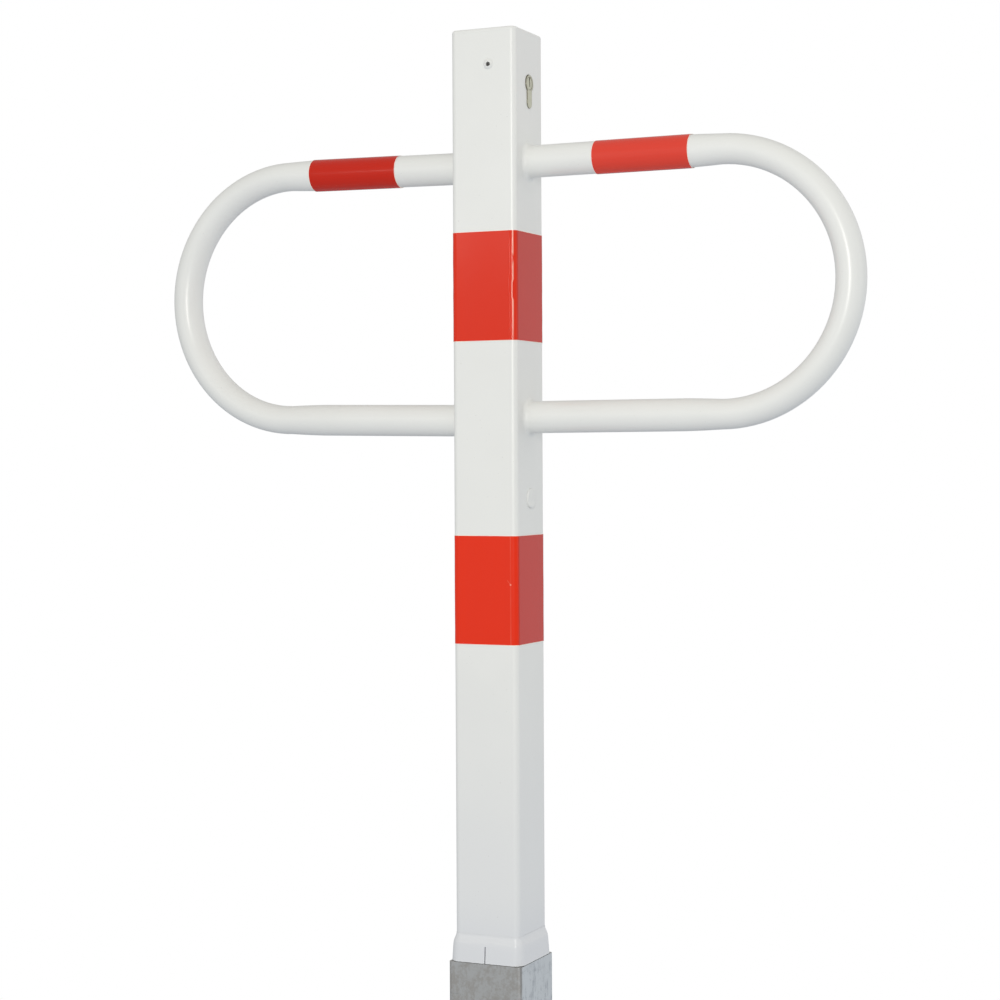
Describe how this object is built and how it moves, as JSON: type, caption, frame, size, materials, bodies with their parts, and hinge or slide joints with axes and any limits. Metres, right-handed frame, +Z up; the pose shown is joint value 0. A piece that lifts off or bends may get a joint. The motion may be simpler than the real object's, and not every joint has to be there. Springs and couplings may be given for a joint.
{
  "type": "removable bollard",
  "caption": "Removable square bollard with side hoops, reflective bands, a cylinder lock and a ground socket.",
  "frame": {"origin": "on the post's axis at ground level, which is the top of the ground socket", "axes": "+Z up along the post, hoops along X, lock in the +X face, front at -Y"},
  "size_m": [0.7618, 0.0861, 1.43],
  "materials": {
    "white_paint": "white powder coat",
    "red_film": "red reflective film",
    "galvanised_steel": "hot-dip galvanised",
    "nickel_lock": "nickel-plated brass",
    "bright_steel": "bright drawn steel",
    "plated_steel": "zinc-plated steel"
  },
  "bodies": {
    "ground_socket": {"socket_tube": "galvanised_steel", "strike_cup": "galvanised_steel", "stop_bar": "galvanised_steel"},
    "post": {"post_tube": "white_paint", "top_cap": "white_paint", "ground_collar": "white_paint", "left_hoop": "white_paint", "right_hoop": "white_paint", "upper_post_band": "red_film", "lower_post_band": "red_film", "left_hoop_band": "red_film", "right_hoop_band": "red_film", "lock_carrier": "plated_steel", "carrier_screw": "white_paint", "cylinder_body": "nickel_lock", "cylinder_screw": "plated_steel", "bolt_housing": "bright_steel", "rod_guide": "bright_steel", "guide_weld": "white_paint"},
    "lock_plug": {"cylinder_plug": "nickel_lock", "cylinder_cam": "nickel_lock"},
    "lock_rod": {"push_rod": "bright_steel", "cam_follower": "bright_steel", "wedge_plate": "bright_steel"},
    "latch_bolt": {"latch_bolt": "bright_steel", "drive_pin": "bright_steel"}
  },
  "joints": [
    {"name": "post_lift", "type": "slide", "parent": "ground_socket", "child": "post", "axis": [0, 0, 1], "range_m": [0, 0.4]},
    {"name": "key_turn", "type": "hinge", "parent": "post", "child": "lock_plug", "pos_m": [0, 0, 0.8775], "axis": [1, 0, 0], "range_deg": [0, 60]},
    {"name": "rod_slide", "type": "slide", "parent": "post", "child": "lock_rod", "axis": [0, 0, 1], "range_m": [0, 0.0125]},
    {"name": "bolt_slide", "type": "slide", "parent": "post", "child": "latch_bolt", "axis": [0, -1, 0], "range_m": [0, 0.0075]}
  ],
  "couplings": [
    {"joint": "key_turn", "follows": "rod_slide", "rad_per_m": 83.775},
    {"joint": "bolt_slide", "follows": "rod_slide", "ratio": 0.6}
  ]
}
